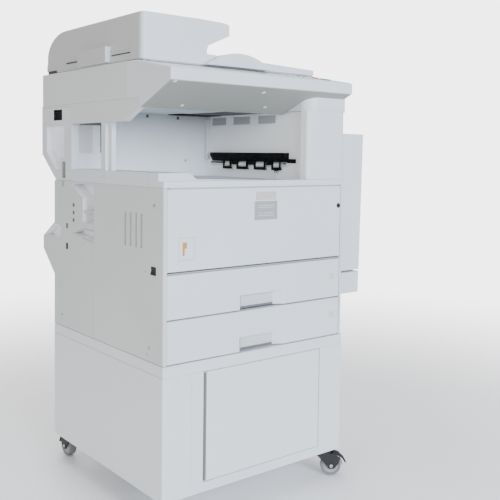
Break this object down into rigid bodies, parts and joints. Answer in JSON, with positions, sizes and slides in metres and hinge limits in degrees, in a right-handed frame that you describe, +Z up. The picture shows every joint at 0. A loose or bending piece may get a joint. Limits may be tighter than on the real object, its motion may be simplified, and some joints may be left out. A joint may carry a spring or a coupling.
{
  "type": "office photocopier",
  "caption": "Floor-standing office copier on a caster cabinet: paper trays, in-body exit tray, flatbed scanner, operation panel and hinged document feeder.",
  "frame": {"origin": "centre of the whole copier's footprint, on the floor under the casters", "axes": "+Z up, front with the paper trays faces -Y, the side unit stands out towards +X"},
  "size_m": [0.67, 0.6831, 1.197],
  "materials": {
    "white_plastic": "fine-grained moulded off-white plastic",
    "grey_plastic": "fine-grained warm grey plastic",
    "black_plastic": "moulded black plastic",
    "light_key": "light grey keys",
    "green_key": "green key",
    "red_key": "red key",
    "cabinet_paint": "powder-coated off-white sheet steel",
    "steel": "zinc-plated sheet and rods",
    "aluminium": "bare aluminium",
    "glass": "clear",
    "screen": "dark display",
    "rubber": "black rubber",
    "roller_white": "white rollers",
    "tread": "grey rubber tread",
    "drum_coat": "blue-green photoconductor",
    "toner_plastic": "black bottle"
  },
  "bodies": {
    "chassis": {"cabinet_shell": "cabinet_paint", "cabinet_top": "cabinet_paint", "caster_plates": "steel", "base_frame": "steel", "left_cover": "grey_plastic", "left_rear_cover": "grey_plastic", "rear_cover": "grey_plastic", "power_inlet": "black_plastic", "right_cover": "white_plastic", "front_inner_cover": "grey_plastic", "exit_tray": "white_plastic", "exit_tower": "white_plastic", "exit_guide": "black_plastic", "rear_housing": "white_plastic", "hinge_pins": "steel", "cover_screws": "steel", "engine_frame": "steel", "scanner_frame": "white_plastic", "scanner_case": "white_plastic", "platen_glass": "glass", "panel_housing": "white_plastic", "display": "screen", "feeder_hinges": "black_plastic"},
    "cabinet_door": {"cabinet_door": "cabinet_paint"},
    "front_cover": {"front_cover": "white_plastic"},
    "paper_tray_1": {"paper_tray_1": "white_plastic"},
    "tray_1_front_fence": {"tray_1_front_fence": "grey_plastic"},
    "tray_1_rear_fence": {"tray_1_rear_fence": "grey_plastic"},
    "paper_tray_2": {"paper_tray_2": "white_plastic"},
    "tray_2_front_fence": {"tray_2_front_fence": "grey_plastic"},
    "tray_2_rear_fence": {"tray_2_rear_fence": "grey_plastic"},
    "feed_roller_1": {"feed_roller_1": "rubber"},
    "feed_roller_2": {"feed_roller_2": "rubber"},
    "exit_roller": {"exit_roller": "roller_white"},
    "exit_flag": {"exit_flag": "roller_white"},
    "main_switch": {"main_switch": "black_plastic"},
    "drum": {"drum": "drum_coat"},
    "fuser_hot_roller": {"fuser_hot_roller": "aluminium"},
    "fuser_pressure_roller": {"fuser_pressure_roller": "rubber"},
    "toner_bottle": {"toner_bottle": "toner_plastic"},
    "duplex_unit": {"duplex_unit": "white_plastic"},
    "lower_right_cover": {"lower_right_cover": "white_plastic"},
    "bypass_tray": {"bypass_tray": "grey_plastic"},
    "full_rate_carriage": {"full_rate_carriage": "steel"},
    "half_rate_carriage": {"half_rate_carriage": "steel"},
    "start_key": {"start_key": "green_key"},
    "stop_key": {"stop_key": "red_key"},
    "number_keys": {"number_keys": "light_key"},
    "document_feeder": {"feeder_base": "white_plastic", "feeder_body": "white_plastic"},
    "feed_cover": {"feed_cover": "grey_plastic"},
    "caster_swivel_fl": {"caster_fork_fl": "black_plastic"},
    "caster_wheel_fl": {"caster_wheel_fl": "tread"},
    "caster_swivel_fr": {"caster_fork_fr": "black_plastic"},
    "caster_wheel_fr": {"caster_wheel_fr": "tread"},
    "caster_swivel_rl": {"caster_fork_rl": "black_plastic"},
    "caster_wheel_rl": {"caster_wheel_rl": "tread"},
    "caster_swivel_rr": {"caster_fork_rr": "black_plastic"},
    "caster_wheel_rr": {"caster_wheel_rr": "tread"},
    "brake_pedal_fr": {"brake_pedal_fr": "black_plastic"}
  },
  "joints": [
    {"name": "caster_swivel_fl", "type": "hinge", "parent": "chassis", "child": "caster_swivel_fl", "pos_m": [-0.282, -0.2815, 0.06], "axis": [0, 0, 1], "continuous": true},
    {"name": "caster_wheel_fl", "type": "hinge", "parent": "caster_swivel_fl", "child": "caster_wheel_fl", "pos_m": [-0.29324, -0.30932, 0.028], "axis": [-0.9272, 0.3746, 0], "continuous": true},
    {"name": "caster_swivel_fr", "type": "hinge", "parent": "chassis", "child": "caster_swivel_fr", "pos_m": [0.199, -0.2815, 0.06], "axis": [0, 0, 1], "continuous": true},
    {"name": "caster_wheel_fr", "type": "hinge", "parent": "caster_swivel_fr", "child": "caster_wheel_fr", "pos_m": [0.22296, -0.29955, 0.028], "axis": [-0.6018, -0.7986, 0], "continuous": true},
    {"name": "caster_swivel_rl", "type": "hinge", "parent": "chassis", "child": "caster_swivel_rl", "pos_m": [-0.282, 0.2225, 0.06], "axis": [0, 0, 1], "continuous": true},
    {"name": "caster_wheel_rl", "type": "hinge", "parent": "caster_swivel_rl", "child": "caster_wheel_rl", "pos_m": [-0.28305, 0.25248, 0.028], "axis": [0.9994, 0.0349, 0], "continuous": true},
    {"name": "caster_swivel_rr", "type": "hinge", "parent": "chassis", "child": "caster_swivel_rr", "pos_m": [0.199, 0.2225, 0.06], "axis": [0, 0, 1], "continuous": true},
    {"name": "caster_wheel_rr", "type": "hinge", "parent": "caster_swivel_rr", "child": "caster_wheel_rr", "pos_m": [0.2149, 0.24794, 0.028], "axis": [0.848, -0.5299, 0], "continuous": true},
    {"name": "cabinet_door", "type": "hinge", "parent": "chassis", "child": "cabinet_door", "pos_m": [-0.203, -0.3055, 0.2], "axis": [0, 0, 1], "range_deg": [-95, 0]},
    {"name": "front_cover", "type": "hinge", "parent": "chassis", "child": "front_cover", "pos_m": [-0.045, -0.3055, 0.6085], "axis": [1, 0, 0], "range_deg": [0, 88]},
    {"name": "paper_tray_1", "type": "slide", "parent": "chassis", "child": "paper_tray_1", "axis": [0, -1, 0], "range_m": [0, 0.4]},
    {"name": "tray_1_front_fence", "type": "slide", "parent": "paper_tray_1", "child": "tray_1_front_fence", "axis": [0, 1, 0], "range_m": [0, 0.06]},
    {"name": "tray_1_rear_fence", "type": "slide", "parent": "paper_tray_1", "child": "tray_1_rear_fence", "axis": [0, 1, 0], "range_m": [-0.06, 0]},
    {"name": "paper_tray_2", "type": "slide", "parent": "chassis", "child": "paper_tray_2", "axis": [0, -1, 0], "range_m": [0, 0.4]},
    {"name": "tray_2_front_fence", "type": "slide", "parent": "paper_tray_2", "child": "tray_2_front_fence", "axis": [0, 1, 0], "range_m": [0, 0.06]},
    {"name": "tray_2_rear_fence", "type": "slide", "parent": "paper_tray_2", "child": "tray_2_rear_fence", "axis": [0, 1, 0], "range_m": [-0.06, 0]},
    {"name": "feed_roller_1", "type": "hinge", "parent": "chassis", "child": "feed_roller_1", "pos_m": [0.155, -0.0135, 0.59], "axis": [0, 1, 0], "continuous": true},
    {"name": "feed_roller_2", "type": "hinge", "parent": "chassis", "child": "feed_roller_2", "pos_m": [0.155, -0.0135, 0.482], "axis": [0, 1, 0], "continuous": true},
    {"name": "exit_roller", "type": "hinge", "parent": "chassis", "child": "exit_roller", "pos_m": [0.123, -0.0635, 0.839], "axis": [0, 1, 0], "continuous": true},
    {"name": "brake_pedal_fr", "type": "hinge", "parent": "caster_swivel_fr", "child": "brake_pedal_fr", "pos_m": [0.22935, -0.30437, 0.0605], "axis": [0.6018, 0.7986, 0], "range_deg": [0, 8]},
    {"name": "exit_flag", "type": "hinge", "parent": "chassis", "child": "exit_flag", "pos_m": [0.1175, -0.1785, 0.822], "axis": [0, 1, 0], "range_deg": [0, 35]},
    {"name": "main_switch", "type": "hinge", "parent": "chassis", "child": "main_switch", "pos_m": [-0.3195, -0.2705, 0.6], "axis": [0, 1, 0], "range_deg": [0, 9]},
    {"name": "drum", "type": "hinge", "parent": "chassis", "child": "drum", "pos_m": [0.145, -0.0675, 0.7], "axis": [0, 1, 0], "continuous": true},
    {"name": "fuser_hot_roller", "type": "hinge", "parent": "chassis", "child": "fuser_hot_roller", "pos_m": [0.159, -0.0675, 0.766], "axis": [0, 1, 0], "continuous": true},
    {"name": "fuser_pressure_roller", "type": "hinge", "parent": "chassis", "child": "fuser_pressure_roller", "pos_m": [0.1894, -0.0675, 0.766], "axis": [0, 1, 0], "continuous": true},
    {"name": "toner_bottle", "type": "hinge", "parent": "chassis", "child": "toner_bottle", "pos_m": [0.067, -0.0675, 0.668], "axis": [0, 1, 0], "continuous": true},
    {"name": "duplex_unit", "type": "hinge", "parent": "chassis", "child": "duplex_unit", "pos_m": [0.25, 0.2205, 0.74], "axis": [0, 0, 1], "range_deg": [0, 75]},
    {"name": "lower_right_cover", "type": "hinge", "parent": "chassis", "child": "lower_right_cover", "pos_m": [0.25, 0.2205, 0.52], "axis": [0, 0, 1], "range_deg": [0, 75]},
    {"name": "bypass_tray", "type": "hinge", "parent": "duplex_unit", "child": "bypass_tray", "pos_m": [0.323, -0.0285, 0.609], "axis": [0, 1, 0], "range_deg": [0, 70]},
    {"name": "full_rate_carriage", "type": "slide", "parent": "chassis", "child": "full_rate_carriage", "axis": [1, 0, 0], "range_m": [0, 0.39]},
    {"name": "half_rate_carriage", "type": "slide", "parent": "chassis", "child": "half_rate_carriage", "axis": [1, 0, 0], "range_m": [0, 0.195]},
    {"name": "start_key", "type": "slide", "parent": "chassis", "child": "start_key", "axis": [0, 0.1781, -0.984], "range_m": [0, 0.0015], "stiffness_N_per_m": 400},
    {"name": "stop_key", "type": "slide", "parent": "chassis", "child": "stop_key", "axis": [0, 0.1781, -0.984], "range_m": [0, 0.0015], "stiffness_N_per_m": 300},
    {"name": "number_keys", "type": "slide", "parent": "chassis", "child": "number_keys", "axis": [0, 0.1781, -0.984], "range_m": [0, 0.0015], "stiffness_N_per_m": 400},
    {"name": "document_feeder", "type": "hinge", "parent": "chassis", "child": "document_feeder", "pos_m": [-0.047, 0.3215, 1.097], "axis": [-1, 0, 0], "range_deg": [0, 60]},
    {"name": "feed_cover", "type": "hinge", "parent": "document_feeder", "child": "feed_cover", "pos_m": [-0.216, 0.0245, 1.188], "axis": [0, 1, 0], "range_deg": [0, 60]}
  ],
  "couplings": [
    {"joint": "tray_1_rear_fence", "follows": "tray_1_front_fence", "ratio": -1},
    {"joint": "tray_2_rear_fence", "follows": "tray_2_front_fence", "ratio": -1},
    {"joint": "half_rate_carriage", "follows": "full_rate_carriage", "ratio": 0.5},
    {"joint": "fuser_pressure_roller", "follows": "fuser_hot_roller", "ratio": -1.1429}
  ]
}
